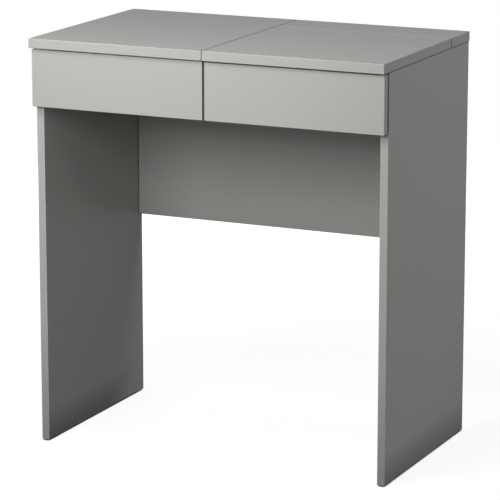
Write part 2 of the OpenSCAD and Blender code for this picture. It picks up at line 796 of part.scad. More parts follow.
module drawer_runner() {
    web = runner_gap - steel_t;
    foot = runner_gap + foot_w;
    color(coat) difference() {
        union() {
            along_runner([[web, foot_z], [foot, foot_z], [foot, foot_z + steel_t],
                [runner_gap, foot_z + steel_t], [runner_gap, shelf_z + steel_t],
                [shelf_in, shelf_z + steel_t], [shelf_in, shelf_z], [web, shelf_z]]);
            translate([runner_gap, rear_roller_y, rear_roller_z]) mirror([1, 0, 0])
                rivet(steel_t / 2, runner_gap - rear_roller_u - roller_w);
        }
        foot_screw_holes();
    }
}

// A roller with its bore along u, between u and u + its width
module roller(u) {
    soft = 0.6;
    bore = axle_d / 2 + run_fit;
    rim = roller_d / 2;
    color(nylon) translate([u, 0, 0]) rotate([0, 90, 0]) rotate_extrude()
        polygon([[bore, 0], [rim - soft, 0], [rim, soft], [rim, roller_w - soft],
            [rim - soft, roller_w], [bore, roller_w]]);
}

module front_roller() {
    translate([0, front_roller_y, front_roller_z]) roller(roller_u);
}

module rear_roller() {
    translate([0, rear_roller_y, rear_roller_z]) roller(rear_roller_u);
}

module runner_cabinet_left() {
    on_wall(-1) cabinet_runner();
}

module runner_cabinet_right() {
    on_wall(1) cabinet_runner();
}

module runner_drawer_left() {
    on_wall(-1) drawer_runner();
}

module runner_drawer_right() {
    on_wall(1) drawer_runner();
}

module runner_screws() {
    color(zinc) for (side = [-1, 1]) on_wall(side) at_wall_screws() screw();
}

module drawer_screws() {
    color(zinc) for (side = [-1, 1]) on_wall(side) at_foot_screws() screw();
}

module roller_front_left() {
    on_wall(-1) front_roller();
}

module roller_front_right() {
    on_wall(1) front_roller();
}

module roller_rear_left() {
    on_wall(-1) rear_roller();
}

module roller_rear_right() {
    on_wall(1) rear_roller();
}

// Drawer

// The hardboard bottom, or with a margin the groove round it
module bottom_sheet(margin) {
    reach = groove_d - fit + margin;
    block([box_x0 + box_t - reach, front_back - reach, groove_z - margin],
        [box_x1 - box_t + reach, box_end - box_t + reach, groove_z + bottom_t + margin]);
}

module drawer_cuts() {
    bottom_sheet(fit);
    dowel_holes(drawer_dowel_list);
    cam_holes(drawer_cam_list);
}

module drawer_front() {
    color(foil) difference() {
        board([-front_out, front_y, front_low], [-front_mid, front_back, front_top]);
        drawer_cuts();
    }
}

module drawer_side(x) {
    color(foil_inside) difference() {
        board([x, front_back, box_z], [x + box_t, box_end, box_z + box_h]);
        drawer_cuts();
        for (side = [-1, 1]) on_wall(side) foot_screw_holes();
    }
}

module drawer_side_left() {
    drawer_side(box_x0);
}

module drawer_side_right() {
    drawer_side(box_x1 - box_t);
}

module drawer_back() {
    color(foil_inside) difference() {
        board([box_x0 + box_t, box_end - box_t, box_z], [box_x1 - box_t, box_end, box_z + box_h]);
        drawer_cuts();
    }
}

module drawer_bottom() {
    color(foil_inside) bottom_sheet(0);
}

module drawer_dowels() {
    color(beech) dowel_set(drawer_dowel_list);
}

module drawer_bolts() {
    color(zinc) bolt_set(drawer_cam_list);
}

module drawer_cams() {
    color(zinc) cam_set(drawer_cam_list);
}

module drawer_pads() {
    color(nylon) for (x = [-side_mid, -(part_x + front_mid) / 2])
        translate([x, front_back, front_low + pad_up]) rotate([-90, 0, 0]) cylinder(d = pad_d, h = pad_t);
}

side_left();
side_right();
top_left();
top_strip();
back_panel();
partition();
well_floor();
drawer_rail();
hinge_rail();
well_front();
glides();
dowels();
cam_bolts();
cams();
runner_cabinet_left();
runner_cabinet_right();
runner_screws();
hinge_leaves_rear();
hinge_screws_rear();
hinge_links_rear();
hinge_links_lid();
hinge_leaves_lid();
hinge_screws_lid();
lid();
mirror_glass();
mirror_tape();
mirror_clips();
clip_screws();
drawer_front();
drawer_side_left();
drawer_side_right();
drawer_back();
drawer_bottom();
drawer_dowels();
drawer_bolts();
drawer_cams();
drawer_pads();
runner_drawer_left();
runner_drawer_right();
drawer_screws();
roller_front_left();
roller_front_right();
roller_rear_left();
roller_rear_right();
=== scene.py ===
"""Looks of a dressing table with a lift-up mirror lid: foil on board, glass, metal and soft light."""

import json
import math

import bmesh
import bpy
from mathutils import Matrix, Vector


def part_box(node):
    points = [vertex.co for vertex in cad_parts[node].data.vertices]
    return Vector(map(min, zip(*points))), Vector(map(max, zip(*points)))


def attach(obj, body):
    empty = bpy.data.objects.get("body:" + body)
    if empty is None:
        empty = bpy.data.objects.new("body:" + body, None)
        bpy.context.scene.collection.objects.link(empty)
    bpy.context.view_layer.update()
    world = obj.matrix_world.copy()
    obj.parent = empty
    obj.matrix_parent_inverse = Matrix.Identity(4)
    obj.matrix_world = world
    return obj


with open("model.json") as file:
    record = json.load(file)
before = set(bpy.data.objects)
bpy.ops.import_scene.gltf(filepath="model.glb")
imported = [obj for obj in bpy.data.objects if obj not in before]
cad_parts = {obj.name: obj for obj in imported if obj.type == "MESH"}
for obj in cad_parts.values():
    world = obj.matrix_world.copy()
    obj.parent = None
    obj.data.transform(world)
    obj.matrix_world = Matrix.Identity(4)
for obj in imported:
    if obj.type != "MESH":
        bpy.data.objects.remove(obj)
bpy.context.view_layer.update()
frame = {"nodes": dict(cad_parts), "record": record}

# Colours of the finishes, as linear numbers
FOIL_GREY = (0.402, 0.403, 0.387)
FOIL_INSIDE = (0.362, 0.363, 0.349)
PRINT_GREY = (0.382, 0.383, 0.370)
FIBRE_BROWN = (0.190, 0.118, 0.062)
BEECH_LIGHT = (0.640, 0.440, 0.240)
BEECH_DARK = (0.470, 0.285, 0.135)
SILVER = (0.790, 0.830, 0.828)
GLASS_EDGE = (0.130, 0.300, 0.235)
FOAM_BLACK = (0.055, 0.055, 0.060)
NYLON_WHITE = (0.790, 0.785, 0.760)
PLASTIC_DARK = (0.045, 0.045, 0.047)
COAT_WHITE = (0.720, 0.722, 0.710)
ZINC_BRIGHT = (0.640, 0.655, 0.680)
BLACK = (0.0, 0.0, 0.0)

# Printed foil: its gloss, its roughness and how far that drifts, and its marks as shares of its own tone
FOIL_GLOSS = 0.08
FOIL_ROUGH = 0.44
FOIL_DRIFT = 0.012
INSIDE_ROUGH = 0.55
INSIDE_DRIFT = 0.02
CLOUD_DARK = 0.994
CLOUD_PALE = 1.006
SPECK_TONE = 0.80
SPECK_SHARE = 0.08
# Rubbed arrises: paler partly from wear and partly as a painted highlight
RUB_AND_HIGHLIGHT_TONE = 1.65
RUB_AND_HIGHLIGHT_LEAST = 0.35
RUB_AND_HIGHLIGHT_MOST = 0.85

# The other finishes' darkest and palest tones, as shares of their colour, and a plastic's drift in gloss
FIBRE_DARK = 0.72
FIBRE_PALE = 1.35
PRINT_DARK = 0.94
RING_DARK = 0.86
SILVER_DULL = 0.992
CELL_DARK = 0.6
CELL_PALE = 1.4
MOULD_DARK = 0.97
MOULD_DRIFT = 0.07
COAT_RUBBED = 0.82
SPANGLE_DARK = 0.84

# Painted shade, in metres: a dark line in a corner and its fade, a seam's reach and the dark line at a foot;
# and its tone
SHADE_LINE = 0.0016
SHADE_FADE = 0.0005
SEAM_REACH = 0.0028
FOOT_LINE = 0.0026
SHADE_TONE = 0.22

# Painted shade toward the floor: how high it reaches on the sides' faces and edges, its tones at the floor,
# and where along the table the inner faces begin to lose it toward the rear and are quite free of it
FLOOR_SHADE_HIGH = 0.072
FLOOR_SHADE_TONE = 0.44
EDGE_SHADE_HIGH = 0.22
EDGE_SHADE_TONE = 0.80
UNSHADED_FROM = -0.06
UNSHADED_BY = 0.15

# How far a surface faces along an axis, from -1 to 1, where each kind of face begins and is complete
FLAT_FROM = 0.90
FLAT_TO = 0.995
BROAD_FROM = 0.5
BROAD_TO = 0.9
UP_FROM = 0.1
UP_TO = 0.5
DOWN_FROM = -0.1
DOWN_TO = -0.6

# A side's inner face: how far it faces along X, times its place along X, in metres
INNER_FROM = -0.1
INNER_TO = -0.2

# Where nearly all of a noise's values lie, and a colour Mix node's sockets
NOISE_LOW = 0.3
NOISE_HIGH = 0.7
MIX_SHARE = 0
MIX_FIRST = 6
MIX_SECOND = 7
MIX_RESULT = 2


def tools(tree):
    """What adds a node to a tree, and what joins two of its sockets."""
    return tree.nodes.new, tree.links.new


class Finish:
    """A finish being mixed: its material, its tree of nodes and its shader."""

    def __init__(self, name, roughness, metal=0.0, specular=0.5):
        self.material = bpy.data.materials.new(name)
        self.material.use_nodes = True
        self.tree = self.material.node_tree
        self.shader = self.tree.nodes["Principled BSDF"]
        self.shader.inputs["Roughness"].default_value = roughness
        self.shader.inputs["Metallic"].default_value = metal
        self.shader.inputs["Specular IOR Level"].default_value = specular
        self.place = self.tree.nodes.new("ShaderNodeTexCoord")

    def add(self, kind, **settings):
        """A new node of the kind, with its settings."""
        made = self.tree.nodes.new(kind)
        for name, value in settings.items():
            setattr(made, name, value)
        return made

    def join(self, output, socket):
        self.tree.links.new(output, socket)

    def noise(self, per_metre, detail=2.0, stretch=(1.0, 1.0, 1.0)):
        """Noise with so many grains to the metre; a stretch above 1 makes it finer along that axis."""
        mapping = self.add("ShaderNodeMapping")
        mapping.inputs["Scale"].default_value = stretch
        self.join(self.place.outputs["Object"], mapping.inputs["Vector"])
        grain = self.add("ShaderNodeTexNoise")
        grain.inputs["Scale"].default_value = per_metre
        grain.inputs["Detail"].default_value = detail
        self.join(mapping.outputs["Vector"], grain.inputs["Vector"])
        return grain.outputs["Fac"]

    def spread(self, value, low, high, start=NOISE_LOW, end=NOISE_HIGH, curve="LINEAR"):
        """The value between start and end turned into a number between low and high."""
        ranged = self.add("ShaderNodeMapRange", interpolation_type=curve)
        for name, number in zip(("From Min", "From Max", "To Min", "To Max"), (start, end, low, high)):
            ranged.inputs[name].default_value = number
        self.join(value, ranged.inputs["Value"])
        return ranged.outputs["Result"]

    def tone(self, share, first, second):
        """A colour between two: either may be three numbers or another colour's output."""
        mixer = self.add("ShaderNodeMix", data_type="RGBA")
        self.join(share, mixer.inputs[MIX_SHARE])
        for number, colour in ((MIX_FIRST, first), (MIX_SECOND, second)):
            if isinstance(colour, tuple):
                mixer.inputs[number].default_value = (*colour, 1.0)
            else:
                self.join(colour, mixer.inputs[number])
        return mixer.outputs[MIX_RESULT]

    def bump(self, height, depth, strength, under=None):
        """The surface raised by the height, on top of another bump if there is one under it."""
        raised = self.add("ShaderNodeBump")
        raised.inputs["Strength"].default_value = strength
        raised.inputs["Distance"].default_value = depth
        self.join(height, raised.inputs["Height"])
        if under is not None:
            self.join(under, raised.inputs["Normal"])
        return raised.outputs["Normal"]

    def sum_of(self, operation, first, *others):
        """The operation on a value alone, or on it and each of the others in turn."""
        total = first
        for other in others or (None,):
            step = self.add("ShaderNodeMath", operation=operation)
            self.join(total, step.inputs[0])
            if other is not None:
                self.join(other, step.inputs[1])
            total = step.outputs["Value"]
        return total

    def times(self, *values):
        return self.sum_of("MULTIPLY", *values)

    def most(self, *values):
        return self.sum_of("MAXIMUM", *values)

    def unsigned(self, value):
        return self.sum_of("ABSOLUTE", value)

    def part_of(self, output, axis):
        """One axis of the piece's own place or normal."""
        split = self.add("ShaderNodeSeparateXYZ")
        self.join(self.place.outputs[output], split.inputs["Vector"])
        return split.outputs[axis]

    def toward(self, axis):
        """How far the surface faces along the piece's own axis, -1 to 1."""
        return self.part_of("Normal", axis)

    def along(self, axis):
        """The place on the table, in metres."""
        return self.part_of("Object", axis)

    def arris(self):
        """1 on the rounded edges of a board, 0 on its flat faces."""
        widest = self.most(*[self.unsigned(self.toward(axis)) for axis in "XYZ"])
        return self.spread(widest, 1.0, 0.0, FLAT_FROM, FLAT_TO)

    def beyond(self, value, edge):
        """1 where the value is past the edge, fading in just before it."""
        return self.spread(value, 0.0, 1.0, edge - SHADE_FADE, edge)

    def within(self, value, edge, reach):
        """1 where the value is up to half the reach past the edge, fading out by the whole reach."""
        return self.spread(value, 1.0, 0.0, edge + reach / 2, edge + reach)

    def near(self, value, middle):
        """1 within a seam's reach of its middle."""
        low = self.beyond(value, middle - SEAM_REACH)
        return self.sum_of("SUBTRACT", low, self.beyond(value, middle + SEAM_REACH))

    def finish(self, colour, roughness=None, normal=None):
        """The material, with its shader fed from the outputs given."""
        for name, output in (("Base Color", colour), ("Roughness", roughness), ("Normal", normal)):
            if output is not None:
                self.join(output, self.shader.inputs[name])
        return self.material


def shade(colour, factor):
    """The colour made darker, or paler by a factor above 1."""
    return tuple(c * factor for c in colour)


def shade_below(foil, arris):
    """Painted shade on the arrises that face down."""
    return foil.times(arris, foil.spread(foil.toward("Z"), 1.0, 0.0, DOWN_TO, DOWN_FROM))


def shade_in_seams(foil, arris):
    """The same, and painted shade in the middle seam where it faces up and in the open end of the strip's
    seam.
    """
    level = foil.spread(foil.unsigned(foil.toward("Z")), 1.0, 0.0, UP_FROM, UP_TO)
    upward = foil.spread(foil.toward("Z"), 0.0, 1.0, UP_FROM, UP_TO)
    strip_seam = (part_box("lid")[1].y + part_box("top_strip")[0].y) / 2
    middle = foil.times(foil.near(foil.along("X"), 0.0), upward)
    end = foil.times(foil.near(foil.along("Y"), strip_seam), level)
    return foil.most(shade_below(foil, arris), foil.times(arris, foil.most(middle, end)))


def shade_round_fronts(foil, arris):
    """Painted shade on the fronts' arrises: in the split between them, behind them and on top of the right
    one.
    """
    front_low, front_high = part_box("well_front")
    split = foil.near(foil.along("X"), 0.0)
    behind = foil.beyond(foil.along("Y"), front_high.y - SHADE_LINE)
    high = foil.beyond(foil.along("Z"), front_high.z - SHADE_LINE)
    above = foil.times(high, foil.beyond(foil.along("X"), front_low.x))
    return foil.most(shade_below(foil, arris), foil.times(arris, foil.most(split, behind, above)))


def shade_on_sides(foil, arris):
    """Painted shade in dark lines on the sides: on the outer face under the top, behind the fronts, and by
    the floor.
    """
    side_low, side_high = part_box("side_right")
    high = foil.beyond(foil.along("Z"), side_high.z - SHADE_LINE)
    outside = foil.beyond(foil.unsigned(foil.along("X")), side_high.x - SHADE_LINE / 2)
    beside = foil.beyond(foil.along("Z"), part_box("well_front")[0].z)
    ahead = foil.within(foil.along("Y"), side_low.y, SHADE_LINE)
    broad = foil.spread(foil.unsigned(foil.toward("X")), 0.0, 1.0, BROAD_FROM, BROAD_TO)
    low = foil.within(foil.along("Z"), side_low.z, FOOT_LINE)
    return foil.most(
        shade_below(foil, arris),
        foil.times(high, outside),
        foil.times(arris, beside, ahead),
        foil.times(low, broad),
    )


def shade_in_corners(foil, arris):
    """Painted shade in a dark line down both ends of the back panel, where it meets the sides, and on its
    arrises.
    """
    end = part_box("back_panel")[1].x - SHADE_LINE
    return foil.most(arris, foil.beyond(foil.unsigned(foil.along("X")), end))


def shaded_feet(foil, colour):
    """Painted shade: the colour gone dark toward the floor, most on the sides' faces, and none toward the
    rear of their inner faces.
    """
    height = foil.along("Z")
    # Painted shade, darker toward the floor on the sides' faces and edges
    unshaded = foil.spread(height, FLOOR_SHADE_TONE, 1.0, 0.0, FLOOR_SHADE_HIGH, "SMOOTHSTEP")
    outward = foil.times(foil.toward("X"), foil.along("X"))
    inside = foil.spread(outward, 1.0, 0.0, INNER_TO, INNER_FROM)
    rearward = foil.spread(foil.along("Y"), 0.0, 1.0, UNSHADED_FROM, UNSHADED_BY)
    faces = foil.tone(foil.most(unshaded, foil.times(inside, rearward)), BLACK, colour)
    edge_unshaded = foil.spread(height, EDGE_SHADE_TONE, 1.0, 0.0, EDGE_SHADE_HIGH)
    edges = foil.tone(edge_unshaded, BLACK, colour)
    broad = foil.spread(foil.unsigned(foil.toward("X")), 0.0, 1.0, BROAD_FROM, BROAD_TO)
    return foil.tone(broad, edges, faces)


def foil_finish(name, colour, roughness, drift, painted_shade=shade_below):
    """Printed foil on board: faint clouds, specks, orange peel, arrises paler from wear and painted
    highlight, painted shade on arrises, in seams and toward the floor.
    """
    foil = Finish(name, roughness, specular=FOIL_GLOSS)
    cloudy = foil.spread(foil.noise(per_metre=5.0, detail=3.0), low=0.0, high=1.0)
    clouds = foil.tone(cloudy, shade(colour, CLOUD_DARK), shade(colour, CLOUD_PALE))
    specked = foil.spread(foil.noise(per_metre=1500.0, detail=1.0), low=0.0, high=SPECK_SHARE)
    specks = foil.tone(specked, clouds, shade(colour, SPECK_TONE))
    arris = foil.arris()
    # Arrises made paler, partly as wear and partly as a painted highlight
    rub = foil.spread(foil.noise(per_metre=60.0, detail=4.0), low=RUB_AND_HIGHLIGHT_LEAST, high=RUB_AND_HIGHLIGHT_MOST)
    worn_and_highlit = foil.tone(foil.times(arris, rub), specks, shade(colour, RUB_AND_HIGHLIGHT_TONE))
    # Painted shade: arrises, seams, gaps and corners darkened to the shade tone
    with_painted_shade = foil.tone(painted_shade(foil, arris), worn_and_highlit, shade(colour, SHADE_TONE))
    peel = foil.bump(foil.noise(per_metre=420.0), depth=0.00006, strength=0.35)
    fine = foil.bump(foil.noise(per_metre=2600.0, detail=1.0), depth=0.00002, strength=0.30, under=peel)
    drifting = foil.noise(per_metre=22.0, detail=4.0)
    rough = foil.spread(drifting, low=roughness - drift, high=roughness + drift)
    return foil.finish(shaded_feet(foil, with_painted_shade), rough, fine)


def hardboard_finish():
    """Thin fibreboard: printed grey on its upper face, brown matted fibres elsewhere."""
    board = Finish("hardboard", roughness=0.7)
    upper = board.spread(board.toward("Z"), 0.0, 1.0, BROAD_FROM, BROAD_TO)
    fibres = board.noise(per_metre=700.0, detail=6.0, stretch=(1.0, 3.0, 1.0))
    matted = board.spread(fibres, low=0.0, high=1.0)
    brown = board.tone(matted, shade(FIBRE_BROWN, FIBRE_DARK), shade(FIBRE_BROWN, FIBRE_PALE))
    inked = board.spread(board.noise(per_metre=1300.0, detail=1.0), low=0.0, high=1.0)
    printed = board.tone(inked, shade(PRINT_GREY, PRINT_DARK), PRINT_GREY)
    rough = board.spread(upper, low=0.82, high=0.55, start=0.0, end=1.0)
    return board.finish(
        board.tone(upper, brown, printed),
        rough,
        board.bump(fibres, depth=0.00008, strength=0.4),
    )


def beech_finish():
    """Raw beech pins: short dark flecks along the grain."""
    wood = Finish("beech", roughness=0.62)
    rings = wood.spread(wood.noise(per_metre=220.0, detail=3.0), low=0.0, high=1.0)
    body = wood.tone(rings, BEECH_LIGHT, shade(BEECH_LIGHT, RING_DARK))
    flecks = wood.noise(per_metre=900.0, stretch=(1.0, 1.0, 0.35))
    flecked = wood.spread(flecks, low=0.0, high=0.8, start=0.5, end=0.75)
    return wood.finish(
        wood.tone(flecked, body, BEECH_DARK),
        normal=wood.bump(flecks, depth=0.00005, strength=0.5),
    )


def mirror_finish():
    """Silvered glass: bright and even on its broad faces, sea green on its ground edge."""
    glass = Finish("mirror", roughness=0.015, metal=1.0)
    edge = glass.spread(glass.unsigned(glass.toward("Z")), low=1.0, high=0.0, start=0.6, end=0.95)
    even = glass.spread(glass.noise(per_metre=3.0), low=0.0, high=1.0)
    clear = glass.tone(even, SILVER, shade(SILVER, SILVER_DULL))
    film = glass.spread(glass.noise(per_metre=14.0, detail=5.0), low=0.010, high=0.030, start=0.35, end=0.8)
    ground = glass.spread(edge, low=0.0, high=0.28, start=0.0, end=1.0)
    return glass.finish(glass.tone(edge, clear, GLASS_EDGE), glass.most(film, ground))


def foam_finish():
    """Black foam tape, with its open cells."""
    foam = Finish("foam_tape", roughness=0.92, specular=0.2)
    cells = foam.noise(per_metre=1600.0)
    open_cells = foam.spread(cells, low=0.0, high=1.0)
    return foam.finish(
        foam.tone(open_cells, shade(FOAM_BLACK, CELL_DARK), shade(FOAM_BLACK, CELL_PALE)),
        normal=foam.bump(cells, depth=0.0002, strength=0.8),
    )


def plastic_finish(name, colour, roughness):
    """Moulded plastic: a fine spark grain, and slightly uneven gloss."""
    plastic = Finish(name, roughness)
    uneven = plastic.spread(plastic.noise(per_metre=90.0), low=0.0, high=1.0)
    grain = plastic.noise(per_metre=1900.0)
    return plastic.finish(
        plastic.tone(uneven, shade(colour, MOULD_DARK), colour),
        plastic.spread(grain, low=roughness - MOULD_DRIFT, high=roughness + MOULD_DRIFT),
        plastic.bump(grain, depth=0.00004, strength=0.5),
    )


def coat_finish():
    """Powder coat on rolled steel: soft pebbles, and a greyer rub where the rollers run."""
    coat = Finish("coated_steel", roughness=0.38)
    pebbles = coat.noise(per_metre=900.0)
    streaks = coat.noise(per_metre=45.0, detail=4.0, stretch=(1.0, 0.15, 1.0))
    rub = coat.spread(streaks, low=0.0, high=0.5, start=0.55, end=0.8)
    return coat.finish(
        coat.tone(rub, COAT_WHITE, shade(COAT_WHITE, COAT_RUBBED)),
        coat.spread(pebbles, low=0.32, high=0.46),
        coat.bump(pebbles, depth=0.00008, strength=0.5),
    )


def zinc_finish():
    """Bright zinc plate: cloudy spangle and fine rolling marks."""
    zinc = Finish("zinc", roughness=0.34, metal=1.0)
    cloud = zinc.noise(per_metre=160.0, detail=4.0)
    marks = zinc.noise(per_metre=1800.0, stretch=(1.0, 0.2, 1.0))
    spangle = zinc.spread(cloud, low=0.0, high=1.0)
    return zinc.finish(
        zinc.tone(spangle, shade(ZINC_BRIGHT, SPANGLE_DARK), ZINC_BRIGHT),
        zinc.spread(cloud, low=0.26, high=0.44),
        zinc.bump(marks, depth=0.00003, strength=0.5),
    )


finishes = {
    "grey_foil": foil_finish("grey_foil", FOIL_GREY, FOIL_ROUGH, FOIL_DRIFT, shade_in_seams),
    "front_foil": foil_finish("front_foil", FOIL_GREY, FOIL_ROUGH, FOIL_DRIFT, shade_round_fronts),
    "side_foil": foil_finish("side_foil", FOIL_GREY, FOIL_ROUGH, FOIL_DRIFT, shade_on_sides),
    "back_foil": foil_finish("back_foil", FOIL_GREY, FOIL_ROUGH, FOIL_DRIFT, shade_in_corners),
    "inner_foil": foil_finish("inner_foil", FOIL_INSIDE, INSIDE_ROUGH, INSIDE_DRIFT),
    "hardboard": hardboard_finish(),
    "beech": beech_finish(),
    "mirror": mirror_finish(),
    "foam_tape": foam_finish(),
    "nylon": plastic_finish("nylon", NYLON_WHITE, roughness=0.42),
    "dark_plastic": plastic_finish("dark_plastic", PLASTIC_DARK, roughness=0.5),
    "coated_steel": coat_finish(),
    "zinc": zinc_finish(),
}

# Boards whose foil carries its own painted shade, and the finishes of the turned and pressed parts
OWN_SHADE_BOARDS = {
    "drawer_front": "front_foil",
    "well_front": "front_foil",
    "side_left": "side_foil",
    "side_right": "side_foil",
    "back_panel": "back_foil",
}
TURNED = {"zinc", "nylon", "dark_plastic", "coated_steel", "beech"}

# Turned parts: how near two points are to be one, and the sharpest edge that is still shaded smooth
WELD_REACH = 0.00001
SMOOTH_BELOW = math.radians(35)


def smooth_turned_parts():
    """A group of nodes that welds a turned or pressed part and shades it smooth between its sharp edges."""
    group = bpy.data.node_groups.new("smooth_turned_parts", "GeometryNodeTree")
    interface = group.interface
    interface.new_socket("Part", in_out="INPUT", socket_type="NodeSocketGeometry")
    sharp = interface.new_socket("Sharpest smooth edge", in_out="INPUT", socket_type="NodeSocketFloat")
    sharp.default_value = SMOOTH_BELOW
    interface.new_socket("Part", in_out="OUTPUT", socket_type="NodeSocketGeometry")
    add, join = tools(group)
    start = add("NodeGroupInput")
    weld = add("GeometryNodeMergeByDistance")
    weld.inputs["Distance"].default_value = WELD_REACH
    angle = add("GeometryNodeInputMeshEdgeAngle")
    soft = add("FunctionNodeCompare")
    soft.operation = "LESS_THAN"
    faces = add("GeometryNodeSetShadeSmooth")
    edges = add("GeometryNodeSetShadeSmooth")
    edges.domain = "EDGE"
    end = add("NodeGroupOutput")
    join(start.outputs["Part"], weld.inputs["Geometry"])
    join(weld.outputs["Geometry"], faces.inputs["Geometry"])
    join(faces.outputs["Geometry"], edges.inputs["Geometry"])
    join(angle.outputs["Unsigned Angle"], soft.inputs[0])
    join(start.outputs["Sharpest smooth edge"], soft.inputs[1])
    join(soft.outputs["Result"], edges.inputs["Shade Smooth"])
    join(edges.outputs["Geometry"], end.inputs["Part"])
    return group


def dress_nodes():
    """Each part gets the finish that the record names, or its kin with its own painted shade; turned ones
    are smoothed too.
    """
    smoothing = smooth_turned_parts()
    for part in frame["record"]["subparts"]:
        node = frame["nodes"][part["node"]]
        slot = part["material_slot"]
        node.data.materials.clear()
        node.data.materials.append(finishes[OWN_SHADE_BOARDS.get(part["node"], slot)])
        if slot in TURNED:
            node.modifiers.new("smooth_turned_parts", "NODES").node_group = smoothing


dress_nodes()

# Foil discs stuck over the cams' pockets where they show: their size and soft rim, how finely the blank is
# divided, and the height above which a point lies on its upper side
DISC_D = 0.0185
DISC_T = 0.0007
DISC_EDGE = 0.0003
DISC_RIM_POWER = 8.0
DISC_SIDES = 40
DISC_LAYERS = 2
DISC_RINGS = 4
DISC_UPPER = 0.0001

# Where the cams stand in their boards, in metres from the board's end and from its other edges
CAM_REACH = 0.034
ROW_IN = 0.072
FLOOR_ROW_FRONT = 0.054
FLOOR_ROW_REAR = 0.052
RAIL_CAM_IN = 0.014


def disc_places():
    """Each disc's middle, and the way its board faces there: behind the back panel, under the floors."""
    back_low, back_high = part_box("back_panel")
    floor_low, floor_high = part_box("well_floor")
    rail_low, rail_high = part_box("drawer_rail")
    behind = Vector((0, 1, 0))
    below = Vector((0, 0, -1))
    rows = [back_low.z + ROW_IN, back_high.z - ROW_IN]
    inner = [floor_low.x + ROW_IN, floor_high.x - ROW_IN]
    places = [((side * (back_high.x - CAM_REACH), back_high.y, z), behind) for side in (-1, 1) for z in rows]
    places += [((side * x, back_high.y, back_high.z - CAM_REACH), behind) for side in (-1, 1) for x in inner]
    places += [
        ((x, y, floor_low.z), below)
        for x in (floor_low.x + CAM_REACH, floor_high.x - CAM_REACH)
        for y in (floor_low.y + FLOOR_ROW_FRONT, floor_high.y - FLOOR_ROW_REAR)
    ]
    places += [((x, floor_low.y + CAM_REACH, floor_low.z), below) for x in inner]
    places += [
        ((x, rail_high.y - RAIL_CAM_IN, rail_low.z), below)
        for x in (rail_low.x + CAM_REACH, rail_high.x - CAM_REACH)
    ]
    return places


def pressed_disc(group, start):
    """One disc, flat where it is stuck on, with its rim rolled down by the edge softness."""
    add, join = tools(group)

    def sum_of(operation, first, second):
        step = add("ShaderNodeMath")
        step.operation = operation
        for socket, value in zip(step.inputs, (first, second)):
            if isinstance(value, float):
                socket.default_value = value
            else:
                join(value, socket)
        return step.outputs[0]

    blank = add("GeometryNodeMeshCylinder")
    blank.inputs["Vertices"].default_value = DISC_SIDES
    blank.inputs["Side Segments"].default_value = DISC_LAYERS
    blank.inputs["Fill Segments"].default_value = DISC_RINGS
    radius = sum_of("MULTIPLY", start.outputs["Diameter"], 0.5)
    join(radius, blank.inputs["Radius"])
    join(start.outputs["Thickness"], blank.inputs["Depth"])
    place = add("GeometryNodeInputPosition")
    parts = add("ShaderNodeSeparateXYZ")
    join(place.outputs[0], parts.inputs[0])
    squares = [sum_of("MULTIPLY", parts.outputs[axis], parts.outputs[axis]) for axis in (0, 1)]
    outward = sum_of("DIVIDE", sum_of("POWER", sum_of("ADD", *squares), 0.5), radius)
    drop = sum_of("MULTIPLY", sum_of("POWER", outward, DISC_RIM_POWER), start.outputs["Edge softness"])
    upper = sum_of("GREATER_THAN", parts.outputs[2], DISC_UPPER)
    middle = sum_of("MULTIPLY", start.outputs["Thickness"], 0.5)
    offset = add("ShaderNodeCombineXYZ")
    pressed = add("GeometryNodeSetPosition")
    join(sum_of("SUBTRACT", middle, sum_of("MULTIPLY", drop, upper)), offset.inputs[2])
    join(blank.outputs["Mesh"], pressed.inputs["Geometry"])
    join(offset.outputs[0], pressed.inputs["Offset"])
    return pressed.outputs[0]


def disc_nodes():
    """Nodes that press one soft-edged disc and set it on every place, turned to face out."""
    group = bpy.data.node_groups.new("cover_discs", "GeometryNodeTree")
    interface = group.interface
    interface.new_socket("Places", in_out="INPUT", socket_type="NodeSocketGeometry")
    for name in ("Diameter", "Thickness", "Edge softness"):
        interface.new_socket(name, in_out="INPUT", socket_type="NodeSocketFloat")
    interface.new_socket("Finish", in_out="INPUT", socket_type="NodeSocketMaterial")
    interface.new_socket("Discs", in_out="OUTPUT", socket_type="NodeSocketGeometry")
    add, join = tools(group)
    start = add("NodeGroupInput")
    facing = add("GeometryNodeInputNamedAttribute")
    facing.data_type = "FLOAT_VECTOR"
    facing.inputs["Name"].default_value = "facing"
    turn = add("FunctionNodeAlignRotationToVector")
    placed = add("GeometryNodeInstanceOnPoints")
    real = add("GeometryNodeRealizeInstances")
    finish = add("GeometryNodeSetMaterial")
    end = add("NodeGroupOutput")
    join(facing.outputs["Attribute"], turn.inputs["Vector"])
    join(start.outputs["Places"], placed.inputs["Points"])
    join(pressed_disc(group, start), placed.inputs["Instance"])
    join(turn.outputs[0], placed.inputs["Rotation"])
    join(placed.outputs[0], real.inputs[0])
    join(real.outputs[0], finish.inputs["Geometry"])
    join(start.outputs["Finish"], finish.inputs["Material"])
    join(finish.outputs[0], end.inputs["Discs"])
    return group


def made_plain(piece):
    """The piece's nodes turned into a plain mesh of its own."""
    bpy.context.view_layer.update()
    solid = piece.evaluated_get(bpy.context.evaluated_depsgraph_get())
    mesh = bpy.data.meshes.new_from_object(solid)
    piece.modifiers.clear()
    piece.data = mesh


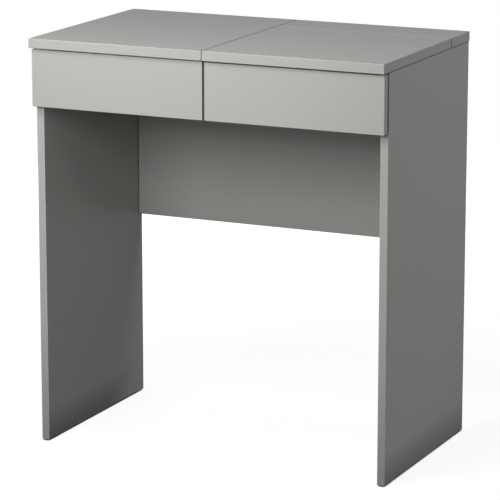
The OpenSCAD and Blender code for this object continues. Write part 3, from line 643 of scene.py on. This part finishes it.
def make_cover_discs():
    """All the discs as one piece, on the body that doesn't move."""
    places = disc_places()
    mesh = bpy.data.meshes.new("cover_discs")
    mesh.from_pydata([point for point, _ in places], [], [])
    facing = mesh.attributes.new("facing", "FLOAT_VECTOR", "POINT")
    facing.data.foreach_set("vector", [number for _, out in places for number in out])
    discs = bpy.data.objects.new("cover_discs", mesh)
    bpy.context.scene.collection.objects.link(discs)
    group = disc_nodes()
    nodes = discs.modifiers.new("cover_discs", "NODES")
    nodes.node_group = group
    sizes = {
        "Diameter": DISC_D,
        "Thickness": DISC_T,
        "Edge softness": DISC_EDGE,
        "Finish": finishes["inner_foil"],
    }
    for socket in group.interface.items_tree:
        if socket.name in sizes:
            nodes[socket.identifier] = sizes[socket.name]
    made_plain(discs)
    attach(discs, "carcass")


make_cover_discs()

# Paper floor: its size, the tone that bounces light and the tone that shows, from where to where the table's
# shadow fades out and what glow is left in it, and the painted contact shadow where the feet touch it: how
# far it reaches, how open the floor is where it is darkest and where it ends, and how many rays look for it
FLOOR_RADIUS = 30.0
FLOOR_SIDES = 64
PAPER_PLAIN = (0.20, 0.20, 0.198, 1.0)
PAPER_SHOWN = (0.16, 0.16, 0.16, 1.0)
SHADOW_NEAR = 0.7
SHADOW_FAR = 1.6
SHADOW_GLOW = 0.90
CONTACT_REACH = 0.006
CONTACT_DARK = 0.30
CONTACT_CLEAR = 0.60
CONTACT_RAYS = 8

# The studio round the table: white where it is seen, and a faint fill of light
WHITE = (1.0, 1.0, 1.0, 1.0)
SHOWN_STRENGTH = 1.0
FILL_STRENGTH = 0.05

# Soft boxes: where each stands, what it looks at, its width and height, and its power in watts
SOFT_BOXES = {
    "front": ((-0.36, -1.34, 1.11), (0.0, 0.0, 0.5), 0.7, 0.4, 6.9),
    "front_low": ((-0.35, -1.32, 0.84), (0.0, 0.0, 0.5), 0.7, 0.3, 2.9),
    "front_high": ((-0.29, -1.09, 1.68), (0.0, 0.0, 0.5), 0.7, 0.4, 10.3),
    "front_right": ((0.24, -1.37, 1.11), (0.0, 0.0, 0.5), 0.7, 0.4, 4.6),
    "right": ((2.4, 0.3, 1.7), (0.3, 0.0, 0.5), 1.0, 0.8, 15.9),
    "left": ((-2.5, 0.3, 0.7), (-0.3, 0.0, 0.4), 1.4, 1.2, 14.0),
    "behind": ((-1.5, 2.3, 0.45), (0.0, 0.1, 0.5), 1.4, 0.8, 38.0),
}

# The camera: its lens and film in millimetres, where it stands, and how it is turned and tilted
LENS_LENGTH = 203.5
FILM_WIDTH = 36.0
SIGHT_END = 100.0
CAMERA_PLACE = (2.16053, -4.67265, 1.55568)
CAMERA_TURN = math.radians(24.83)
CAMERA_TILT = math.radians(13.034)


def seen_directly(tree):
    """1 for what the camera, a mirror or a glass sees, 0 for plain light."""
    add, join = tools(tree)
    path = add("ShaderNodeLightPath")
    total = path.outputs["Is Camera Ray"]
    for name in ("Is Glossy Ray", "Is Transmission Ray"):
        most = add("ShaderNodeMath")
        most.operation = "MAXIMUM"
        join(total, most.inputs[0])
        join(path.outputs[name], most.inputs[1])
        total = most.outputs[0]
    return total


def shadow_glow(tree):
    """The floor's glow: a little less round the table, and none where the feet touch it, as a painted
    contact shadow.
    """
    add, join = tools(tree)
    place = add("ShaderNodeTexCoord")
    reach = add("ShaderNodeVectorMath")
    reach.operation = "LENGTH"
    far = add("ShaderNodeMapRange")
    far.inputs["From Min"].default_value = SHADOW_NEAR
    far.inputs["From Max"].default_value = SHADOW_FAR
    far.inputs["To Min"].default_value = SHADOW_GLOW
    far.inputs["To Max"].default_value = SHOWN_STRENGTH
    # Painted contact shadow: the glow goes dark where the feet stand close
    contact_shade = add("ShaderNodeAmbientOcclusion")
    contact_shade.samples = CONTACT_RAYS
    contact_shade.inputs["Distance"].default_value = CONTACT_REACH
    clear = add("ShaderNodeMapRange")
    clear.inputs["From Min"].default_value = CONTACT_DARK
    clear.inputs["From Max"].default_value = CONTACT_CLEAR
    lit = add("ShaderNodeMath")
    lit.operation = "MULTIPLY"
    join(place.outputs["Object"], reach.inputs[0])
    join(reach.outputs["Value"], far.inputs["Value"])
    join(contact_shade.outputs["AO"], clear.inputs["Value"])
    join(far.outputs["Result"], lit.inputs[0])
    join(clear.outputs["Result"], lit.inputs[1])
    return lit.outputs[0]


def pale_floor():
    """Plain pale paper: it shows white, with the table's faint shadow near its feet."""
    finish = bpy.data.materials.new("pale_floor")
    finish.use_nodes = True
    tree = finish.node_tree
    tree.nodes.clear()
    add, join = tools(tree)
    plain = add("ShaderNodeBsdfDiffuse")
    plain.inputs["Color"].default_value = PAPER_PLAIN
    shown = add("ShaderNodeBsdfDiffuse")
    shown.inputs["Color"].default_value = PAPER_SHOWN
    glow = add("ShaderNodeEmission")
    both = add("ShaderNodeAddShader")
    choice = add("ShaderNodeMixShader")
    end = add("ShaderNodeOutputMaterial")
    join(shadow_glow(tree), glow.inputs["Strength"])
    join(shown.outputs[0], both.inputs[0])
    join(glow.outputs[0], both.inputs[1])
    join(seen_directly(tree), choice.inputs[0])
    join(plain.outputs[0], choice.inputs[1])
    join(both.outputs[0], choice.inputs[2])
    join(choice.outputs[0], end.inputs["Surface"])
    return finish


def make_floor():
    """A wide round sheet of the paper, level with the table's feet."""
    made = bmesh.new()
    bmesh.ops.create_circle(made, cap_ends=True, radius=FLOOR_RADIUS, segments=FLOOR_SIDES)
    mesh = bpy.data.meshes.new("floor")
    made.to_mesh(mesh)
    made.free()
    mesh.materials.append(pale_floor())
    floor = bpy.data.objects.new("floor", mesh)
    bpy.context.scene.collection.objects.link(floor)


def set_world():
    """A white studio that lights the table only faintly."""
    world = bpy.data.worlds.new("studio")
    world.use_nodes = True
    bpy.context.scene.world = world
    tree = world.node_tree
    tree.nodes.clear()
    add, join = tools(tree)
    choice = add("ShaderNodeMixShader")
    end = add("ShaderNodeOutputWorld")
    join(seen_directly(tree), choice.inputs[0])
    for number, strength in ((1, FILL_STRENGTH), (2, SHOWN_STRENGTH)):
        white = add("ShaderNodeBackground")
        white.inputs["Color"].default_value = WHITE
        white.inputs["Strength"].default_value = strength
        join(white.outputs[0], choice.inputs[number])
    join(choice.outputs[0], end.inputs["Surface"])


def aim(thing, target):
    """Turn a lamp or the camera to look at a point."""
    thing.rotation_mode = "QUATERNION"
    thing.rotation_quaternion = (Vector(target) - thing.location).to_track_quat("-Z", "Y")


def make_lights():
    """The soft boxes, which neither the camera nor a shine shows."""
    for name, (place, target, width, height, power) in SOFT_BOXES.items():
        lamp = bpy.data.lights.new(name, "AREA")
        lamp.shape = "RECTANGLE"
        lamp.size = width
        lamp.size_y = height
        lamp.energy = power
        holder = bpy.data.objects.new(name, lamp)
        bpy.context.scene.collection.objects.link(holder)
        holder.location = place
        holder.visible_camera = False
        holder.visible_glossy = False
        aim(holder, target)


def make_camera():
    """The photograph's place: a long lens, a little above the table and to its right."""
    lens = bpy.data.cameras.new("camera")
    lens.sensor_width = FILM_WIDTH
    lens.lens = LENS_LENGTH
    lens.clip_end = SIGHT_END
    holder = bpy.data.objects.new("camera", lens)
    bpy.context.scene.collection.objects.link(holder)
    holder.location = CAMERA_PLACE
    level = math.cos(CAMERA_TILT)
    along = Vector((-math.sin(CAMERA_TURN) * level, math.cos(CAMERA_TURN) * level, -math.sin(CAMERA_TILT)))
    aim(holder, holder.location + along)
    bpy.context.scene.camera = holder


make_floor()
set_world()
make_lights()
make_camera()
bpy.context.scene.view_settings.view_transform = "Standard"
